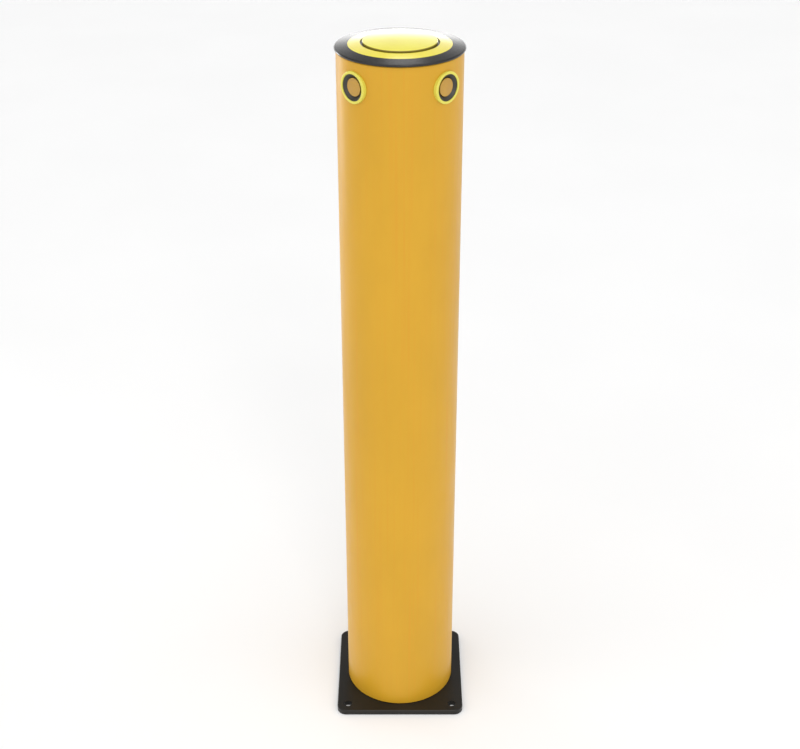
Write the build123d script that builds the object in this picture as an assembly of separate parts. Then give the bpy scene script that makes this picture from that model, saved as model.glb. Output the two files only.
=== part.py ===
from build123d import *
import os
from math import sqrt

# A flexible impact bollard: a steel foot, a polymer core tube held off a round outer tube by twelve
# soft blocks, and a domed cap locked by four plugs. Sizes are in millimetres. The origin is the centre
# of the base plate's underside, +Z is up and the front faces -Y.

# Steel foot
post_side = 85.0
post_wall = 5.0
post_outer_radius = 8.0
post_inner_radius = 3.0
post_height = 700.0
weld_leg = 5.0
weld_toe = 0.4
plate_thickness = 10.0
plate_margin = 17.5
plate_corner_radius = 16.0
plate_edge_break = 0.8
anchor_hole_d = 14.0
anchor_inset = 19.0
drain_slot_width = 11.0
drain_slot_length = 80.0
drain_slot_land = 0.5

# Core tube
core_clearance = 1.0
core_wall = 9.5
core_outer_radius = 11.5
core_inner_radius = 2.0
core_edge_break = 1.0
core_below_skirt = 46.0
weld_clearance = 0.8

# Cross bolt and the holes on its two levels
bolt_d = 8.0
bolt_height = 50.0
pin_hole_height = 98.0
bolt_clearance = 0.5
bolt_head_across_flats = 13.0
bolt_head_height = 5.3
bolt_tip = 2.8
washer_d = 16.0
washer_thickness = 1.6
washer_clearance = 0.2
nut_across_flats = 13.0
nut_hex_height = 6.5
nut_collar_height = 1.5
nut_collar_d = 11.6
thread_clearance = 0.05

# Foot collar
collar_clearance = 0.81
collar_wall = 11.0
collar_height = 210.0
collar_edge_break = 1.5

# Outer tube
tube_clearance = 2.0
tube_wall = 11.0
tube_length = 1175.0
tube_edge_break = 1.5

# Spacer blocks
block_height = 147.0
block_inset = 4.0
block_clearance = 0.3
block_corner_radius = 3.0
block_edge_break = 1.5
block_above_collar = 20.0
block_below_core_top = 89.0
upper_gap_share = 0.37

# Cap
cap_overhang = 2.5
cap_rim_radius = 2.0
cap_crown_height = 12.5
cap_shell = 5.0
spigot_clearance = 0.5
spigot_height = 4.0
spigot_taper = 8.0
skirt_gap = 8.5
skirt_wall = 4.5
skirt_below_window = 8.0
skirt_bend_radius = 18.0
cap_rib_thickness = 3.0
cap_rib_depth = 2.0

# Inlays in the dome
inlay_margin = 20.0
inlay_width = 18.5
inlay_depth = 2.0
inlay_joint = 0.1
inlay_side_clearance = 0.2
inlay_gap = 3.0
centre_disc_proud = 2.5
centre_disc_edge_break = 0.8

# Side plugs
plug_drop = 38.0
plug_hole_d = 43.0
window_clearance = 1.75
plug_centre_gap = 1.25
plug_bore_d = 16.0
plug_rib_count = 14
plug_rib_height = 1.2
plug_rib_width = 3.2
plug_head_clearance = 0.2
plug_head_wall = 1.2
plug_head_recess = 1.0
plug_throat_step = 1.0
ring_neck_clearance = 0.25
ring_neck_wall = 1.25
ring_lip_overlap = 2.5
ring_lip_radius = 1.2
ring_proud = 3.3
ring_depth = 13.0
ring_seat_height = 2.0
ring_seat_depth = 3.0
seat_clearance = 0.75
saddle_clearance = 0.2
plug_cap_margin = 5.2
plug_cap_rim = 2.4
plug_cap_crown = 0.8
plug_cap_clearance = 0.3
plug_stub_length = 8.0

# Widths, from the post outwards
core_bore = post_side + 2 * core_clearance
core_side = core_bore + 2 * core_wall
core_face = core_side / 2
core_corner_reach = (core_face - core_outer_radius) * sqrt(2) + core_outer_radius
collar_inner_r = core_corner_reach + collar_clearance
collar_outer_r = collar_inner_r + collar_wall
tube_inner_r = collar_outer_r + tube_clearance
tube_outer_r = tube_inner_r + tube_wall
plate_side = 2 * (tube_outer_r + plate_margin)

# Plug widths, from the hole in the outer tube inwards
ring_lip_d = plug_hole_d + 2 * ring_lip_overlap
ring_neck_d = plug_hole_d - 2 * ring_neck_clearance
ring_bore_d = ring_neck_d - 2 * ring_neck_wall
ring_seat_d = ring_bore_d - 2 * ring_seat_depth
plug_head_d = ring_bore_d - 2 * plug_head_clearance
plug_mouth_d = plug_head_d - 2 * plug_head_wall
plug_throat_d = plug_bore_d + 2 * plug_throat_step
plug_cap_d = plug_mouth_d - 2 * plug_cap_margin
plug_body_d = ring_seat_d - 2 * seat_clearance
window_d = plug_body_d + 2 * window_clearance

# Cap widths
cap_r = tube_outer_r + cap_overhang
skirt_r = tube_inner_r - skirt_gap
inlay_d = 2 * (cap_r - inlay_margin)
centre_disc_d = inlay_d - 2 * (inlay_width + inlay_gap)

# Heights above the floor
tube_top = plate_thickness + tube_length
skirt_depth = plug_drop + window_d / 2 + skirt_below_window
core_height = tube_length - skirt_depth - core_below_skirt
core_top = plate_thickness + core_height
plug_height = tube_top - plug_drop

sides = {"front": -90, "right": 0, "back": 90, "left": 180}
diagonals = {"front_right": -45, "back_right": 45, "back_left": 135, "front_left": 225}

on_floor = (Align.CENTER, Align.CENTER, Align.MIN)


def square_tube(side, bore, outer_radius, inner_radius, height):
    """A rounded square tube that stands on the plate."""
    section = RectangleRounded(side, side, outer_radius) - RectangleRounded(bore, bore, inner_radius)
    return Pos(0, 0, plate_thickness) * extrude(section, height)


def round_tube(inner_r, outer_r, length, edge_break):
    """A round tube that stands on the plate, with its four rims chamfered."""
    wall = Rectangle(outer_r - inner_r, length, align=(Align.MIN, Align.MIN))
    wall = chamfer(wall.vertices(), edge_break)
    return revolve(Plane.XZ * Pos(inner_r, plate_thickness) * wall, Axis.Z)


def cross_hole(height, diameter, along_y=False):
    """A round bar through both walls of post and core, for cutting."""
    bar = Rot(0, 90, 0) * Cylinder(diameter / 2, 2 * core_side)
    if along_y:
        bar = Rot(0, 0, 90) * bar
    return Pos(0, 0, plate_thickness + height) * bar


def along_plug(piece, angle):
    """Places a piece drawn along +X, from the bollard's axis outwards, on one diagonal."""
    return Pos(0, 0, plug_height) * Rot(0, 0, angle) * piece


def radial_bar(start, end, diameter):
    """A round bar along +X between two distances from the bollard's axis."""
    bar = Cylinder(diameter / 2, end - start, align=on_floor)
    return Pos(start, 0, 0) * Rot(0, 90, 0) * bar


# Steel foot

def make_base_plate():
    plate = extrude(RectangleRounded(plate_side, plate_side, plate_corner_radius), plate_thickness)
    rims = plate.faces().filter_by(Axis.Z).edges()
    plate = chamfer(rims, plate_edge_break)
    hole_place = plate_side / 2 - anchor_inset
    anchor_hole = Cylinder(anchor_hole_d / 2, plate_thickness, align=on_floor)
    for x in (-hole_place, hole_place):
        for y in (-hole_place, hole_place):
            plate -= Pos(x, y, 0) * anchor_hole
    slot_place = post_side / 2 + weld_leg + weld_toe + drain_slot_land + drain_slot_width / 2
    slot = extrude(Rot(0, 0, 90) * SlotOverall(drain_slot_length, drain_slot_width), plate_thickness)
    for x in (-slot_place, slot_place):
        plate -= Pos(x, 0, 0) * slot
    return plate


def make_base_post():
    bore = post_side - 2 * post_wall
    post = square_tube(post_side, bore, post_outer_radius, post_inner_radius, post_height)
    hole_d = bolt_d + 2 * bolt_clearance
    post -= cross_hole(bolt_height, hole_d)
    post -= cross_hole(bolt_height, hole_d, along_y=True)
    post -= cross_hole(pin_hole_height, hole_d, along_y=True)
    return post


def make_foot_weld():
    toe_side = post_side + 2 * (weld_leg + weld_toe)
    toe_radius = post_outer_radius + weld_leg + weld_toe
    bead = extrude(RectangleRounded(toe_side, toe_side, toe_radius), weld_leg, taper=45)
    bead -= extrude(RectangleRounded(post_side, post_side, post_outer_radius), weld_leg)
    return Pos(0, 0, plate_thickness) * bead


def make_foot_collar():
    return round_tube(collar_inner_r, collar_outer_r, collar_height, collar_edge_break)


# Core tube and its cross bolt

def make_core_tube():
    core = square_tube(core_side, core_bore, core_outer_radius, core_inner_radius, core_height)
    ends = core.faces().filter_by(Axis.Z)
    core = chamfer(ends.sort_by(Axis.Z)[-1].outer_wire().edges(), core_edge_break)
    weld_room = weld_leg + weld_toe + weld_clearance - core_clearance
    foot_side = core_bore + 2 * weld_room
    foot = RectangleRounded(foot_side, foot_side, core_inner_radius + weld_room)
    core -= Pos(0, 0, plate_thickness) * extrude(foot, weld_room, taper=45)
    hole_d = bolt_d + 2 * bolt_clearance
    core -= cross_hole(bolt_height, hole_d)
    core -= cross_hole(pin_hole_height, hole_d, along_y=True)
    return core


def hexagon(across_flats):
    return RegularPolygon(across_flats / 2, 6, major_radius=False)


def on_bolt(piece, x):
    """Places a piece drawn along +Z on the bolt's line, its base at x."""
    return Pos(x, 0, plate_thickness + bolt_height) * Rot(0, 90, 0) * piece


def make_cross_bolt():
    head_seat = core_face + washer_thickness
    tip = -(head_seat + nut_hex_height + nut_collar_height + bolt_tip)
    head = extrude(hexagon(bolt_head_across_flats), bolt_head_height)
    crown_top_r = bolt_head_across_flats / 2
    crown = Cone(crown_top_r + bolt_head_height, crown_top_r, bolt_head_height, align=on_floor)
    shank = Cylinder(bolt_d / 2, head_seat - tip, align=on_floor)
    shank = chamfer(shank.edges().sort_by(Axis.Z)[0], bolt_d / 8)
    return on_bolt(head & crown, head_seat) + on_bolt(shank, tip)


def make_washer(x):
    ring = Circle(washer_d / 2) - Circle(bolt_d / 2 + washer_clearance)
    return on_bolt(extrude(ring, washer_thickness), x)


def make_lock_nut():
    body = extrude(hexagon(nut_across_flats), -nut_hex_height)
    nut_height = nut_hex_height + nut_collar_height
    body += Pos(0, 0, -nut_height) * Cylinder(nut_collar_d / 2, nut_height, align=on_floor)
    body -= Cylinder(bolt_d / 2 + thread_clearance, 4 * nut_hex_height)
    return on_bolt(body, -core_face - washer_thickness)


# Spacer blocks

def block_levels():
    """The height above the floor of the underside of each level's blocks."""
    low = plate_thickness + collar_height + block_above_collar
    top = core_top - block_below_core_top - block_height
    free = top - low - 2 * block_height
    middle = top - upper_gap_share * free - block_height
    return {"low": low, "middle": middle, "top": top}


def make_block(angle, height):
    width = core_side - 2 * block_inset
    block_r = tube_inner_r - block_clearance
    section = Pos(core_face, 0) * Rectangle(block_r, width, align=(Align.MIN, Align.CENTER))
    section &= Circle(block_r)
    section = fillet(section.vertices().group_by(Axis.X)[-1], block_corner_radius)
    block = extrude(section, block_height)
    block = chamfer(block.faces().filter_by(Axis.Z).edges(), block_edge_break)
    return Pos(0, 0, height) * Rot(0, 0, angle) * block


# Outer tube

def make_outer_tube():
    tube = round_tube(tube_inner_r, tube_outer_r, tube_length, tube_edge_break)
    for angle in diagonals.values():
        tube -= along_plug(radial_bar(tube_inner_r / 2, 2 * tube_outer_r, plug_hole_d), angle)
    return tube


# Cap

rim_centre_r = cap_r - cap_rim_radius
dome_over_rim = cap_crown_height - 2 * cap_rim_radius
dome_r = (rim_centre_r ** 2 + cap_crown_height * dome_over_rim) / (2 * dome_over_rim)
rim_meets_dome = rim_centre_r * dome_r / (dome_r - cap_rim_radius)


def dome_height(r, lift=0.0):
    """Height above the tube's top of a sphere about the dome's centre, at a distance r from the axis."""
    return sqrt((dome_r + lift) ** 2 - r ** 2) + cap_crown_height - dome_r


def dome_arc(r_from, r_to, lift=0.0):
    middle = (r_from + r_to) / 2
    return ThreePointArc(
        (r_from, dome_height(r_from, lift)),
        (middle, dome_height(middle, lift)),
        (r_to, dome_height(r_to, lift)),
    )


def revolved_cap_piece(section):
    """Turns a section, drawn from the tube's top upwards, about the bollard's axis."""
    return Pos(0, 0, tube_top) * revolve(Plane.XZ * section, Axis.Z)


def make_cap_body():
    bend_height = skirt_bend_radius - skirt_depth
    bend_r = skirt_r - skirt_bend_radius
    inner_bend = skirt_bend_radius - skirt_wall
    inner_r = skirt_r - skirt_wall
    recess_r = inlay_d / 2 + inlay_side_clearance
    spigot_r = tube_inner_r - spigot_clearance
    spigot_foot = spigot_height + spigot_taper
    slant = 1 - 1 / sqrt(2)
    outline = Curve() + [
        Line((0, dome_height(0, -cap_shell)), (0, dome_height(0, -inlay_depth))),
        dome_arc(0, recess_r, -inlay_depth),
        Line((recess_r, dome_height(recess_r, -inlay_depth)), (recess_r, dome_height(recess_r))),
        dome_arc(recess_r, rim_meets_dome),
        ThreePointArc(
            (rim_meets_dome, dome_height(rim_meets_dome)),
            (cap_r, cap_rim_radius),
            (rim_centre_r, 0),
        ),
        Line((rim_centre_r, 0), (spigot_r, 0)),
        Line((spigot_r, 0), (spigot_r, -spigot_height)),
        Line((spigot_r, -spigot_height), (skirt_r, -spigot_foot)),
        Line((skirt_r, -spigot_foot), (skirt_r, bend_height)),
        ThreePointArc(
            (skirt_r, bend_height),
            (skirt_r - slant * skirt_bend_radius, bend_height - skirt_bend_radius / sqrt(2)),
            (bend_r, -skirt_depth),
        ),
        Line((bend_r, -skirt_depth), (bend_r, skirt_wall - skirt_depth)),
        ThreePointArc(
            (bend_r, skirt_wall - skirt_depth),
            (inner_r - slant * inner_bend, bend_height - inner_bend / sqrt(2)),
            (inner_r, bend_height),
        ),
        Line((inner_r, bend_height), (inner_r, dome_height(inner_r, -cap_shell))),
        dome_arc(inner_r, 0, -cap_shell),
    ]
    cap = revolved_cap_piece(make_face(outline))
    for angle in diagonals.values():
        cap -= along_plug(radial_bar(bend_r / 2, tube_inner_r, window_d), angle)
    return cap + cap_ribs(inner_r)


def cap_ribs(inner_r):
    """Crossed ribs that stiffen the dome from below, between the plugs."""
    reach = inner_r + skirt_wall / 2
    shoulder = dome_height(reach, -cap_shell / 2)
    crown = dome_height(0, -(cap_shell + inlay_depth) / 2)
    outline = Curve() + [
        Line((-reach, -cap_rib_depth), (-reach, shoulder)),
        ThreePointArc((-reach, shoulder), (0, crown), (reach, shoulder)),
        Line((reach, shoulder), (reach, -cap_rib_depth)),
        Line((reach, -cap_rib_depth), (-reach, -cap_rib_depth)),
    ]
    rib = extrude(make_face(Plane.XZ * outline), cap_rib_thickness / 2, both=True)
    return Pos(0, 0, tube_top) * (rib + Rot(0, 0, 90) * rib)


def make_cap_ring_inlay():
    inner_r = centre_disc_d / 2 + inlay_gap
    outer_r = inlay_d / 2
    floor = inlay_joint - inlay_depth
    outline = Curve() + [
        dome_arc(inner_r, outer_r),
        Line((outer_r, dome_height(outer_r)), (outer_r, dome_height(outer_r, floor))),
        dome_arc(outer_r, inner_r, floor),
        Line((inner_r, dome_height(inner_r, floor)), (inner_r, dome_height(inner_r))),
    ]
    return revolved_cap_piece(make_face(outline))


def make_cap_centre_disc():
    disc_r = centre_disc_d / 2
    floor = inlay_joint - inlay_depth
    outline = Curve() + [
        Line((0, dome_height(0, floor)), (0, dome_height(0, centre_disc_proud))),
        dome_arc(0, disc_r, centre_disc_proud),
        Line((disc_r, dome_height(disc_r, centre_disc_proud)), (disc_r, dome_height(disc_r, floor))),
        dome_arc(disc_r, 0, floor),
    ]
    section = make_face(outline)
    top_corner = section.vertices().group_by(Axis.X)[-1].sort_by(Axis.Y)[-1]
    return revolved_cap_piece(chamfer(top_corner, centre_disc_edge_break))


# Side plugs, drawn along +X from the bollard's axis outwards

ring_mouth = tube_outer_r + ring_proud
ring_back = ring_mouth - ring_depth
plug_seat = ring_back + ring_seat_height
plug_mouth = ring_mouth - plug_head_recess
plug_inner_end = plug_body_d / 2 + plug_centre_gap
funnel_slope = (plug_mouth_d - plug_throat_d) / 2 / (plug_mouth - plug_seat)


def make_plug_ring(angle):
    """The collar that lines the tube's hole: a saddle-shaped lip outside and a seat at its inner end."""
    lip = radial_bar(tube_inner_r, ring_mouth, ring_lip_d)
    lip = fillet(lip.edges().sort_by(Axis.X)[-1], ring_lip_radius)
    lip -= Cylinder(tube_outer_r + saddle_clearance, 2 * ring_lip_d)
    ring = lip + radial_bar(ring_back, ring_mouth, ring_neck_d)
    ring -= radial_bar(plug_seat, ring_mouth, ring_bore_d)
    ring -= radial_bar(ring_back, plug_seat, ring_seat_d)
    return along_plug(ring, angle)


def make_plug_body(angle):
    """The ribbed barrel that locks the cap, with a funnel in its head."""
    rib_depth = (plug_body_d - plug_bore_d) / 4
    rib_tip = Rectangle(rib_depth, plug_rib_width, align=(Align.MAX, Align.CENTER))
    section = Circle(plug_body_d / 2 - plug_rib_height)
    section += PolarLocations(plug_body_d / 2, plug_rib_count) * rib_tip
    section &= Circle(plug_body_d / 2)
    barrel = Pos(plug_inner_end, 0, 0) * Rot(0, 90, 0) * extrude(section, plug_seat - plug_inner_end)
    body = barrel + radial_bar(plug_seat, plug_mouth, plug_head_d)
    body -= radial_bar(plug_inner_end, plug_mouth, plug_bore_d)
    funnel = Cone(plug_throat_d / 2, plug_mouth_d / 2, plug_mouth - plug_seat, align=on_floor)
    body -= Pos(plug_seat, 0, 0) * Rot(0, 90, 0) * funnel
    return along_plug(body, angle)


def make_plug_cap(angle):
    rim_r = plug_cap_d / 2
    stub_r = plug_bore_d / 2 - plug_cap_clearance
    play = plug_cap_clearance * sqrt(1 + funnel_slope ** 2)
    cone_back = plug_seat + plug_cap_clearance
    cone_back_r = plug_throat_d / 2 - play + funnel_slope * plug_cap_clearance
    rim_back = cone_back + (rim_r - cone_back_r) / funnel_slope
    rim_front = rim_back + plug_cap_rim
    crown = rim_front + plug_cap_crown
    crown_r = (rim_r ** 2 + plug_cap_crown ** 2) / (2 * plug_cap_crown)
    crown_middle = crown - crown_r + sqrt(crown_r ** 2 - (rim_r / 2) ** 2)
    tip = cone_back - plug_stub_length
    outline = Curve() + [
        Line((tip, 0), (tip, stub_r)),
        Line((tip, stub_r), (cone_back, stub_r)),
        Line((cone_back, stub_r), (cone_back, cone_back_r)),
        Line((cone_back, cone_back_r), (rim_back, rim_r)),
        Line((rim_back, rim_r), (rim_front, rim_r)),
        ThreePointArc((rim_front, rim_r), (crown_middle, rim_r / 2), (crown, 0)),
        Line((crown, 0), (tip, 0)),
    ]
    return along_plug(revolve(make_face(Plane.XZ * outline), Axis.X), angle)


def make_bollard():
    pieces = {
        "base_plate": make_base_plate(),
        "base_post": make_base_post(),
        "foot_weld": make_foot_weld(),
        "foot_collar": make_foot_collar(),
        "core_tube": make_core_tube(),
        "cross_bolt": make_cross_bolt(),
        "head_washer": make_washer(core_face),
        "nut_washer": make_washer(-core_face - washer_thickness),
        "lock_nut": make_lock_nut(),
        "outer_tube": make_outer_tube(),
        "cap_body": make_cap_body(),
        "cap_ring_inlay": make_cap_ring_inlay(),
        "cap_centre_disc": make_cap_centre_disc(),
    }
    for level, height in block_levels().items():
        for side, angle in sides.items():
            pieces[f"block_{level}_{side}"] = make_block(angle, height)
    for corner, angle in diagonals.items():
        pieces[f"plug_ring_{corner}"] = make_plug_ring(angle)
        pieces[f"plug_body_{corner}"] = make_plug_body(angle)
        pieces[f"plug_cap_{corner}"] = make_plug_cap(angle)
    return pieces


os.makedirs("parts", exist_ok=True)
for name, piece in make_bollard().items():
    export_step(piece, f"parts/{name}.step")
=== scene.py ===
from math import atan2, cos, degrees, inf, pi, radians, sin, sqrt, tan

import bmesh
import bpy
from mathutils import Matrix, Vector


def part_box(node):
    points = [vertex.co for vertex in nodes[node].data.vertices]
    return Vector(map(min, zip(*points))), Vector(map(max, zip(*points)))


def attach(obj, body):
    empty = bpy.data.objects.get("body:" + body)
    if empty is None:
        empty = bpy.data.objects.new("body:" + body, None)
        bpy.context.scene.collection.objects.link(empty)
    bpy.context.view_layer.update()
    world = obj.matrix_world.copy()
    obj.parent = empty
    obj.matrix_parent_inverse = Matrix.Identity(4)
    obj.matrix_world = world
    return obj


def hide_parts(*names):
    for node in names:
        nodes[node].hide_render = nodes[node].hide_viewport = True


# A flexible impact bollard: satin yellow tube, gloss black cap with lemon inlays, four lemon plugs
# and a black base plate. Inside, a black square core stands over a steel post, among cream blocks.
# Metres: the floor is z = 0 and the front is -Y.

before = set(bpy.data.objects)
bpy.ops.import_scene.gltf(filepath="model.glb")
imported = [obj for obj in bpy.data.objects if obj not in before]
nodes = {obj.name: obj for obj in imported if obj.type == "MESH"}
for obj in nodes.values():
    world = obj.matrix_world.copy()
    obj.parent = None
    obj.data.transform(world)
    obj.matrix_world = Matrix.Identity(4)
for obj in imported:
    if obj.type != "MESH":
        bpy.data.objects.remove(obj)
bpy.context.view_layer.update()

corners = ("front_right", "back_right", "back_left", "front_left")
levels = ("low", "middle", "top")
sides = ("front", "right", "back", "left")


# Finishes

def from_srgb(red, green, blue):
    """A colour as the eye reads it, 0 to 255, in the linear values that a shader takes."""
    linear = []
    for value in (red / 255, green / 255, blue / 255):
        linear.append(value / 12.92 if value <= 0.04045 else ((value + 0.055) / 1.055) ** 2.4)
    return (*linear, 1.0)


class Finish:
    """A material on Object coordinates, built from one Principled shader and a few patterns."""

    def __init__(self, name, color, roughness):
        self.material = bpy.data.materials.new(name)
        self.material.use_nodes = True
        self.tree = self.material.node_tree
        self.shader = self.tree.nodes["Principled BSDF"]
        self.place = self.tree.nodes.new("ShaderNodeTexCoord").outputs["Object"]
        self.color = color
        self.relief = None
        self.set("Base Color", color)
        self.set("Roughness", roughness)

    def set(self, socket, value):
        self.shader.inputs[socket].default_value = value

    def noise(self, per_metre, stretch=(1, 1, 1), detail=3.0, roughness=0.5, distortion=0.0):
        """Cloudy noise with so many cells to the metre; stretch multiplies them along each axis."""
        mapping = self.tree.nodes.new("ShaderNodeMapping")
        mapping.inputs["Scale"].default_value = stretch
        pattern = self.tree.nodes.new("ShaderNodeTexNoise")
        pattern.inputs["Scale"].default_value = per_metre
        pattern.inputs["Detail"].default_value = detail
        pattern.inputs["Roughness"].default_value = roughness
        pattern.inputs["Distortion"].default_value = distortion
        self.tree.links.new(self.place, mapping.inputs["Vector"])
        self.tree.links.new(mapping.outputs["Vector"], pattern.inputs["Vector"])
        return pattern.outputs["Fac"]

    def grains(self, per_metre, feature="F1"):
        """Round cells, as in a moulded grain or sprayed powder."""
        pattern = self.tree.nodes.new("ShaderNodeTexVoronoi")
        pattern.feature = feature
        pattern.inputs["Scale"].default_value = per_metre
        self.tree.links.new(self.place, pattern.inputs["Vector"])
        return pattern.outputs["Distance"]

    def reach(self):
        """Distance from the Z axis, in metres."""
        flat = self.tree.nodes.new("ShaderNodeVectorMath")
        flat.operation = "MULTIPLY"
        flat.inputs[1].default_value = (1, 1, 0)
        distance = self.tree.nodes.new("ShaderNodeVectorMath")
        distance.operation = "LENGTH"
        self.tree.links.new(self.place, flat.inputs[0])
        self.tree.links.new(flat.outputs["Vector"], distance.inputs[0])
        return distance.outputs["Value"]

    def ranged(self, pattern, low, high, at_low=0.3, at_high=0.7):
        """Values from low to high, as the pattern goes from at_low to at_high."""
        ramp = self.tree.nodes.new("ShaderNodeMapRange")
        ramp.interpolation_type = "SMOOTHSTEP"
        ramp.inputs["From Min"].default_value = at_low
        ramp.inputs["From Max"].default_value = at_high
        ramp.inputs["To Min"].default_value = low
        ramp.inputs["To Max"].default_value = high
        self.tree.links.new(pattern, ramp.inputs["Value"])
        return ramp.outputs["Result"]

    def vary(self, socket, pattern, low, high):
        """Lets a number on the shader run from low to high with the pattern."""
        self.tree.links.new(self.ranged(pattern, low, high), self.shader.inputs[socket])

    def tint(self, pattern, color, at_low=0.3, at_high=0.7):
        """Lets the colour run towards another with the pattern, over what it is already."""
        mix = self.tree.nodes.new("ShaderNodeMix")
        mix.data_type = "RGBA"
        base = self.shader.inputs["Base Color"]
        if base.is_linked:
            self.tree.links.new(base.links[0].from_socket, mix.inputs["A"])
        else:
            mix.inputs["A"].default_value = self.color
        self.tree.links.new(self.ranged(pattern, 0, 1, at_low, at_high), mix.inputs["Factor"])
        mix.inputs["B"].default_value = color
        self.tree.links.new(mix.outputs["Result"], base)

    def bump(self, pattern, depth, strength):
        """Raises the surface by depth, in metres, over bumps made before."""
        node = self.tree.nodes.new("ShaderNodeBump")
        node.inputs["Distance"].default_value = depth
        node.inputs["Strength"].default_value = strength
        self.tree.links.new(pattern, node.inputs["Height"])
        if self.relief:
            self.tree.links.new(self.relief, node.inputs["Normal"])
        self.relief = node.outputs["Normal"]
        self.tree.links.new(self.relief, self.shader.inputs["Normal"])


def extruded_polymer(name, color, shade, warm, roughness):
    """Satin polymer tube: fine draw lines along Z, cloudy colour and faint handling marks."""
    finish = Finish(name, color, roughness)
    finish.set("Specular IOR Level", 0.3)
    finish.set("Subsurface Weight", 0.06)
    finish.set("Subsurface Radius", (0.004, 0.002, 0.0008))
    finish.set("Subsurface Scale", 1.0)
    draw_lines = finish.noise(per_metre=240, stretch=(1, 1, 0.012), detail=4)
    clouds = finish.noise(per_metre=7, stretch=(1, 1, 0.45), detail=4, roughness=0.6)
    marks = finish.noise(per_metre=34, stretch=(1, 1, 0.2), detail=6, roughness=0.7, distortion=0.6)
    finish.tint(clouds, shade)
    finish.tint(draw_lines, warm, at_low=0.45, at_high=1.0)
    finish.vary("Roughness", marks, roughness - 0.05, roughness + 0.08)
    finish.bump(draw_lines, depth=0.00012, strength=0.35)
    finish.bump(marks, depth=0.00015, strength=0.2)
    return finish.material


def core_polymer():
    """Black polymer of the square tube: draw lines along Z and a soft, cloudy gloss."""
    finish = Finish("core_polymer", from_srgb(35, 32, 28), roughness=0.34)
    finish.set("Specular IOR Level", 0.3)
    draw_lines = finish.noise(per_metre=260, stretch=(1, 1, 0.012), detail=4)
    clouds = finish.noise(per_metre=12, detail=4, roughness=0.6)
    finish.tint(clouds, from_srgb(42, 39, 34))
    finish.vary("Roughness", clouds, 0.28, 0.42)
    finish.bump(draw_lines, depth=0.00012, strength=0.4)
    return finish.material


def powder_coat(name, color, shade, roughness, shine):
    """Black powder coat over steel: orange peel, a few slow waves and a soft gloss."""
    finish = Finish(name, color, roughness)
    finish.set("Specular IOR Level", shine)
    peel = finish.grains(per_metre=620, feature="SMOOTH_F1")
    waves = finish.noise(per_metre=30, detail=3)
    clouds = finish.noise(per_metre=9, detail=5, roughness=0.65)
    finish.tint(clouds, shade)
    finish.vary("Roughness", clouds, roughness - 0.03, roughness + 0.06)
    finish.bump(peel, depth=0.00012, strength=0.5)
    finish.bump(waves, depth=0.0003, strength=0.05)
    return finish.material


def moulded_gloss(name, color, shade, roughness, coat, wall_r=None, painted_wall_shade=None):
    """Injection-moulded gloss polymer: slow flow waves, and, given a wall radius, painted shade that
    darkens the wall standing in a groove.
    """
    shade_start_inset = 0.0008
    shade_full_inset = 0.0002
    finish = Finish(name, color, roughness)
    finish.set("Coat Weight", coat)
    finish.set("Coat Roughness", 0.12)
    waves = finish.noise(per_metre=26, detail=2)
    specks = finish.noise(per_metre=420, detail=3, roughness=0.7)
    clouds = finish.noise(per_metre=18, detail=4, roughness=0.6)
    finish.tint(clouds, shade)
    # Painted shade: a dark tint on the outer wall of a raised disc, standing in for the shadow in the
    # groove around it.
    if wall_r:
        finish.tint(finish.reach(), painted_wall_shade, at_low=wall_r - shade_start_inset, at_high=wall_r - shade_full_inset)
    finish.vary("Roughness", specks, roughness - 0.02, roughness + 0.04)
    finish.bump(waves, depth=0.0002, strength=0.08)
    return finish.material


def moulded_satin(name, color, shade, roughness, grain_depth):
    """Moulded polymer with an even spark-eroded grain."""
    finish = Finish(name, color, roughness)
    grain = finish.grains(per_metre=900)
    clouds = finish.noise(per_metre=24, detail=4, roughness=0.6)
    finish.tint(clouds, shade)
    finish.vary("Roughness", clouds, roughness - 0.05, roughness + 0.06)
    finish.bump(grain, grain_depth, strength=0.5)
    return finish.material


def soft_block():
    """Cream elastomer: matt and nearly even, with a fine open grain."""
    finish = Finish("soft_block", from_srgb(224, 217, 200), roughness=0.62)
    finish.set("Subsurface Weight", 0.15)
    finish.set("Subsurface Radius", (0.004, 0.003, 0.002))
    finish.set("Subsurface Scale", 1.0)
    mottle = finish.noise(per_metre=26, detail=5, roughness=0.65)
    grain = finish.noise(per_metre=700, detail=3)
    finish.tint(mottle, from_srgb(220, 212, 193))
    finish.vary("Roughness", mottle, 0.55, 0.72)
    finish.bump(grain, depth=0.00008, strength=0.5)
    return finish.material


def zinc_plate():
    """Bright zinc plate: cloudy steel grey with fine turning marks."""
    finish = Finish("zinc_plate", from_srgb(196, 199, 201), roughness=0.28)
    finish.set("Metallic", 1.0)
    clouds = finish.noise(per_metre=160, detail=4, roughness=0.65)
    turning = finish.noise(per_metre=1500, stretch=(1, 0.05, 0.05), detail=2)
    finish.tint(clouds, from_srgb(172, 174, 172))
    finish.vary("Roughness", clouds, 0.22, 0.4)
    finish.bump(turning, depth=0.00001, strength=0.5)
    return finish.material


tube_yellow = extruded_polymer(
    "tube_yellow",
    color=(0.625, 0.338, 0.02, 1),
    shade=(0.58, 0.315, 0.018, 1),
    warm=(0.635, 0.29, 0.017, 1),
    roughness=0.36,
)
collar_yellow = extruded_polymer(
    "collar_yellow",
    color=from_srgb(212, 158, 52),
    shade=from_srgb(202, 150, 46),
    warm=from_srgb(214, 150, 48),
    roughness=0.4,
)
cap_black = moulded_gloss(
    "cap_black", from_srgb(18, 17, 17), from_srgb(24, 22, 21), roughness=0.2, coat=0.0
)
inlay_yellow = moulded_gloss(
    "inlay_yellow", from_srgb(248, 234, 66), from_srgb(242, 224, 54), roughness=0.12, coat=0.6
)
disc_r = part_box("cap_centre_disc")[1][0]
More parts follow.
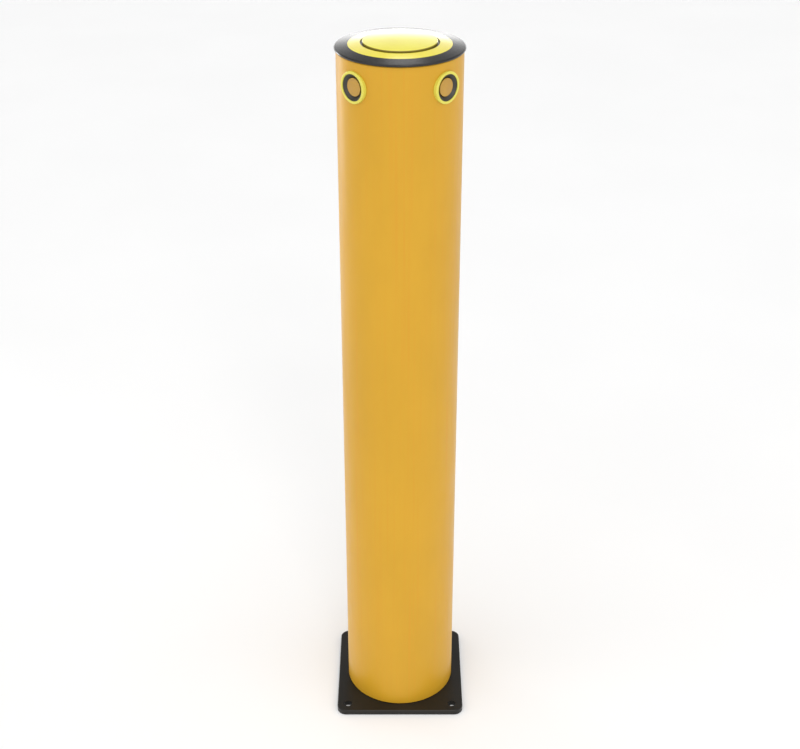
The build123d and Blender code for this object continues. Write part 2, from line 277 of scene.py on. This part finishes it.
# The centre disc's outer wall gets painted shade, a dark olive tint in place of the groove's shadow.
disc_yellow = moulded_gloss(
    "disc_yellow", from_srgb(248, 239, 66), from_srgb(243, 230, 56), roughness=0.12, coat=0.6,
    wall_r=disc_r, painted_wall_shade=from_srgb(120, 106, 26),
)
plug_gold = moulded_gloss(
    "plug_gold", from_srgb(188, 144, 46), from_srgb(174, 130, 38), roughness=0.2, coat=0.25
)
plug_yellow = moulded_satin(
    "plug_yellow", from_srgb(221, 213, 88), from_srgb(212, 203, 74), roughness=0.32, grain_depth=0.00001
)
plug_black = moulded_satin(
    "plug_black", from_srgb(50, 49, 42), from_srgb(58, 56, 49), roughness=0.44, grain_depth=0.00003
)
plate_paint = powder_coat(
    "plate_paint", from_srgb(28, 27, 25), from_srgb(34, 32, 29), roughness=0.32, shine=0.3
)
post_paint = powder_coat(
    "post_paint", from_srgb(28, 26, 23), from_srgb(33, 30, 26), roughness=0.36, shine=0.2
)
black_core = core_polymer()
cream = soft_block()
zinc = zinc_plate()


def paint(material, *names):
    """Gives the shader to CAD nodes, which keep their own shape and place."""
    for name in names:
        for slot in nodes[name].material_slots:
            slot.material = material


paint(tube_yellow, "outer_tube")
paint(collar_yellow, "foot_collar")
paint(plate_paint, "base_plate")
paint(post_paint, "base_post", "foot_weld")
paint(black_core, "core_tube")
paint(cap_black, "cap_body")
paint(inlay_yellow, "cap_ring_inlay")
paint(disc_yellow, "cap_centre_disc")
paint(zinc, "cross_bolt", "head_washer", "nut_washer", "lock_nut")
for corner in corners:
    paint(plug_yellow, f"plug_ring_{corner}")
    paint(plug_black, f"plug_body_{corner}")
    paint(plug_gold, f"plug_cap_{corner}")
for level in levels:
    for side in sides:
        paint(cream, f"block_{level}_{side}")


# Fasteners and weld bead, with the threads and ripples that the plain solids leave out

thread_r = 0.004
thread_pitch = 0.00125
thread_depth = 0.00077
thread_length = 0.022
flank_slope = 1.45
crest_flat = 0.2
loops_per_pitch = 10

hexagon_width = 0.013
chamfer_start_r = 0.48 * hexagon_width
chamfer_slope = tan(pi / 6)

# The middle of a small rounded edge stands in from its corner by this share of its radius
arc_middle = 0.3

round_steps = 48
sharp_angle = 35


def skin(segments, loops, closed=False):
    """A skin round the Z axis, through a stack of loops that each give radius and height at an angle."""
    mesh = bmesh.new()
    bmesh.ops.create_circle(mesh, segments=segments, radius=1)
    first = mesh.edges[:]
    edges = first
    for number, loop in enumerate(loops):
        if number:
            made = bmesh.ops.extrude_edge_only(mesh, edges=edges)["geom"]
            edges = [part for part in made if isinstance(part, bmesh.types.BMEdge)]
        for vertex in {vertex for edge in edges for vertex in edge.verts}:
            angle = atan2(vertex.co.y, vertex.co.x)
            radius, height = loop(angle)
            vertex.co = (radius * cos(angle), radius * sin(angle), height)
    if closed:
        bmesh.ops.bridge_loops(mesh, edges=first + edges)
    else:
        bmesh.ops.edgeloop_fill(mesh, edges=first)
        bmesh.ops.edgeloop_fill(mesh, edges=edges)
    bmesh.ops.recalc_face_normals(mesh, faces=mesh.faces)
    return mesh


def finished(mesh, name, node, material):
    """Stands in for one CAD node, in its place."""
    data = bpy.data.meshes.new(name)
    mesh.to_mesh(data)
    mesh.free()
    data.shade_smooth()
    data.set_sharp_from_angle(angle=radians(sharp_angle))
    data.materials.append(material)
    piece = bpy.data.objects.new(name, data)
    bpy.context.scene.collection.objects.link(piece)
    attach(piece, "root")
    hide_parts(node)


def on_bolt_line(mesh, start):
    """Turns a piece made along +Z onto the cross bolt's line, its foot at x = start."""
    low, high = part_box("cross_bolt")
    height = (low[2] + high[2]) / 2
    bmesh.ops.rotate(mesh, verts=mesh.verts, cent=(0, 0, 0), matrix=Matrix.Rotation(pi / 2, 3, "Y"))
    bmesh.ops.translate(mesh, verts=mesh.verts, vec=(start, 0, height))
    return mesh


def ring(radius, height):
    """A round loop."""
    return lambda angle: (radius, height)


def hexagon_loop(height, chamfered=False):
    """A hexagon; chamfered, its corners fall away below the height, as a lathe leaves them."""
    def loop(angle):
        radius = hexagon_width / 2 / cos(radians(degrees(angle) % 60 - 30))
        fall = (radius - chamfer_start_r) * chamfer_slope if chamfered else 0
        return radius, height - fall
    return loop


def thread_radius(angle, height, fade=1.0):
    """The radius of a single-start thread with small flats, which gets shallower as it fades."""
    saw = abs(2 * ((height / thread_pitch - angle / (2 * pi)) % 1) - 1)
    groove = min(1, max(0, flank_slope * saw - crest_flat))
    return thread_r - thread_depth * groove * fade


def threaded_loops(start, end, clearance=0.0, tip_r=None):
    """Loops of thread from start to end; with a tip radius, start is cut to a 45 degree chamfer."""
    steps = round(loops_per_pitch * (end - start) / thread_pitch)
    loops = []
    for step in range(steps + 1):
        height = start + (end - start) * step / steps
        chamfer_r = tip_r + (height - start) if tip_r else inf

        def loop(angle, height=height, chamfer_r=chamfer_r):
            return min(thread_radius(angle, height) + clearance, chamfer_r), height

        loops.append(loop)
    return loops


def run_out_loops(start):
    """Loops of one pitch of thread that fades into the plain shank."""
    loops = []
    for step in range(1, loops_per_pitch + 1):
        height = start + thread_pitch * step / loops_per_pitch
        fade = 1 - step / loops_per_pitch
        loops.append(lambda angle, height=height, fade=fade: (thread_radius(angle, height, fade), height))
    return loops


def make_bolt():
    """Hexagon bolt, tip first: thread, plain shank, neck fillet, and a head with a washer face."""
    low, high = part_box("cross_bolt")
    length = high[0] - low[0]
    head_height = 0.0053
    seat = length - head_height
    neck_r = 0.0004
    washer_face_r = 0.45 * hexagon_width
    washer_face_height = 0.00015
    head_top_r = 0.47 * hexagon_width
    loops = threaded_loops(0, thread_length, tip_r=0.003)
    loops += run_out_loops(thread_length)
    loops += [
        ring(thread_r, seat - neck_r),
        ring(thread_r + arc_middle * neck_r, seat - arc_middle * neck_r),
        ring(thread_r + neck_r, seat),
        ring(washer_face_r, seat),
        ring(washer_face_r, seat + washer_face_height),
        hexagon_loop(seat + washer_face_height),
        hexagon_loop(length, chamfered=True),
        ring(head_top_r, length),
    ]
    mesh = on_bolt_line(skin(round_steps, loops), low[0])
    finished(mesh, "threaded_bolt", "cross_bolt", zinc)


def make_nut():
    """Lock nut: a threaded hexagon with a round collar at its outer end."""
    bolt_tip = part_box("cross_bolt")[0][0]
    low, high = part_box("lock_nut")
    outer_end = low[0] - bolt_tip
    seat = high[0] - bolt_tip
    seat_r = 0.46 * hexagon_width
    collar = outer_end + 0.0015
    collar_r = 0.0058
    shoulder = 0.0003
    shoulder_drop = 0.0002
    lip = 0.0006
    clearance = 0.00005
    loops = threaded_loops(outer_end + lip / 2, seat, clearance)
    loops += [
        ring(thread_r + 2 * clearance, seat),
        ring(seat_r, seat),
        hexagon_loop(seat, chamfered=True),
        hexagon_loop(collar + shoulder),
        ring(collar_r + shoulder, collar),
        ring(collar_r, collar - shoulder_drop),
        ring(collar_r, outer_end + lip),
        ring(collar_r - arc_middle * lip, outer_end + arc_middle * lip),
        ring(collar_r - lip, outer_end),
        ring(thread_r + lip, outer_end),
        ring(thread_r + lip, outer_end + lip / 2),
    ]
    mesh = on_bolt_line(skin(round_steps, loops, closed=True), bolt_tip)
    finished(mesh, "lock_nut_threaded", "lock_nut", zinc)


def make_washer(node):
    """A stamped washer: one face with rolled edges, the other with sharp ones."""
    low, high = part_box(node)
    thickness = high[0] - low[0]
    outer_r = (high[2] - low[2]) / 2
    bore_gap = 0.0002
    inner_r = thread_r + bore_gap
    roll = 0.0003
    loops = [
        ring(inner_r, 0),
        ring(inner_r, thickness - roll),
        ring(inner_r + arc_middle * roll, thickness - arc_middle * roll),
        ring(inner_r + roll, thickness),
        ring(outer_r - roll, thickness),
        ring(outer_r - arc_middle * roll, thickness - arc_middle * roll),
        ring(outer_r, thickness - roll),
        ring(outer_r, 0),
    ]
    mesh = on_bolt_line(skin(round_steps, loops, closed=True), low[0])
    finished(mesh, f"{node}_stamped", node, zinc)


def rounded_square_radius(angle, half_side, corner_r):
    """Distance from the centre to the edge of a square with rounded corners."""
    fold = abs((degrees(angle) + 45) % 90 - 45)
    along, across = cos(radians(fold)), sin(radians(fold))
    straight = half_side - corner_r
    if half_side * across / along <= straight:
        return half_side / along
    reach = straight * (along + across)
    return reach + sqrt(reach ** 2 - 2 * straight ** 2 + corner_r ** 2)


def make_weld_bead():
    """A hand-laid fillet bead: a slightly hollow face with overlapping crescent ripples."""
    low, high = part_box("foot_weld")
    leg = high[2] - low[2]
    toe_half = (high[0] - low[0]) / 2
    post_low, post_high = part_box("base_post")
    post_half = (post_high[0] - post_low[0]) / 2
    post_corner = 0.008
    ripple_pitch = 0.0026
    ripple_depth = 0.0003
    bow = 1.4
    segments = 1000
    face_steps = 9
    square_to_circle = 1.2
    run = 2 * pi * (post_half + toe_half) / 2 * square_to_circle
    ripples = round(run / ripple_pitch)

    def face_loop(across):
        """A loop on the face, from the toe on the plate, 0, to the toe on the post, 1."""
        def loop(angle):
            phase = angle / (2 * pi) * ripples + bow * (2 * across - 1) ** 2
            ripple = ripple_depth * (phase % 1) * sin(pi * across)
            half = toe_half + (post_half - toe_half) * across - ripple
            height = low[2] + leg * across - ripple
            return rounded_square_radius(angle, half, post_corner + half - post_half), max(height, low[2])
        return loop

    def foot(angle):
        return rounded_square_radius(angle, post_half, post_corner), low[2]

    loops = [foot] + [face_loop(step / face_steps) for step in range(face_steps + 1)]
    finished(skin(segments, loops, closed=True), "rippled_weld", "foot_weld", post_paint)


make_bolt()
make_nut()
make_washer("head_washer")
make_washer("nut_washer")
make_weld_bead()


# Studio

def floor_finish():
    """Matt white with a faint, slow change of tone."""
    finish = Finish("studio_floor", (0.955, 0.955, 0.955, 1), roughness=0.6)
    finish.set("Specular IOR Level", 0.2)
    finish.tint(finish.noise(per_metre=2, detail=2), (0.97, 0.97, 0.97, 1))
    return finish.material


def make_floor():
    """A floor so wide that its edge is lost in the white of the room."""
    half_width = 300
    mesh = bmesh.new()
    bmesh.ops.create_grid(mesh, x_segments=1, y_segments=1, size=half_width)
    data = bpy.data.meshes.new("floor")
    mesh.to_mesh(data)
    mesh.free()
    floor = bpy.data.objects.new("floor", data)
    bpy.context.scene.collection.objects.link(floor)
    data.materials.append(floor_finish())


def make_softbox(name, place, target, size, power, spread=180):
    """A rectangular white light at place, turned to target, that opens by so many degrees."""
    lamp = bpy.data.lights.new(name, "AREA")
    lamp.shape = "RECTANGLE"
    lamp.size, lamp.size_y = size
    lamp.energy = power
    lamp.spread = radians(spread)
    light = bpy.data.objects.new(name, lamp)
    light.location = place
    light.rotation_euler = (Vector(target) - Vector(place)).to_track_quat("-Z", "Y").to_euler()
    bpy.context.scene.collection.objects.link(light)


def make_world(front, horizon, back, zenith):
    """A white room: bright along the horizon and overhead, and dimmer between them at the back."""
    world = bpy.data.worlds.new("studio")
    world.use_nodes = True
    tree = world.node_tree
    background = tree.nodes["Background"]
    background.inputs["Color"].default_value = (1, 1, 1, 1)
    direction = tree.nodes.new("ShaderNodeTexCoord").outputs["Generated"]
    split = tree.nodes.new("ShaderNodeSeparateXYZ")
    tree.links.new(direction, split.inputs["Vector"])

    def blend(axis, start, end, before, after):
        """From one brightness to another, where the direction's share along an axis passes a band."""
        ramp = tree.nodes.new("ShaderNodeMapRange")
        ramp.interpolation_type = "SMOOTHSTEP"
        ramp.inputs["From Min"].default_value = start
        ramp.inputs["From Max"].default_value = end
        for socket, value in (("To Min", before), ("To Max", after)):
            if isinstance(value, float):
                ramp.inputs[socket].default_value = value
            else:
                tree.links.new(value, ramp.inputs[socket])
        tree.links.new(split.outputs[axis], ramp.inputs["Value"])
        return ramp.outputs["Result"]

    behind = blend("Z", start=0.05, end=0.3, before=horizon, after=back)
    around = blend("Y", start=-0.3, end=0.3, before=front, after=behind)
    whole = blend("Z", start=0.75, end=0.92, before=around, after=zenith)
    tree.links.new(whole, background.inputs["Strength"])
    bpy.context.scene.world = world


def make_camera():
    """The picture's camera: pitched down 29 degrees, square to the front, as near as fills the frame."""
    pitch = 29
    picture_width_px = 800
    focal_px = 1450
    distance = 2.095
    height = 1.798
    camera = bpy.data.cameras.new("camera")
    camera.sensor_width = 36
    camera.lens = camera.sensor_width * focal_px / picture_width_px
    holder = bpy.data.objects.new("camera", camera)
    holder.location = (0, -distance, height)
    holder.rotation_euler = (radians(90 - pitch), 0, 0)
    bpy.context.scene.collection.objects.link(holder)
    bpy.context.scene.camera = holder


make_floor()
make_world(front=1.2, horizon=2.4, back=0.35, zenith=1.35)
make_softbox("key", place=(1.0, -5.6, 5.4), target=(0, 0, 0.65), size=(2.0, 2.4), power=70)
make_softbox(
    "left_edge", place=(-1.6, 1.4, 0.9), target=(0, 0, 0.9), size=(0.5, 1.6), power=1.7, spread=50
)
make_softbox(
    "cap_gloss", place=(0, 1.5, 1.65), target=(0, 0, 1.65), size=(1.5, 0.9), power=0.5, spread=60
)
make_softbox(
    "rim_gloss", place=(0.04, 2.39, 2.9), target=(0, -0.09, 1.2), size=(0.36, 0.26), power=0.75
)
make_camera()
bpy.context.scene.view_settings.view_transform = "Standard"
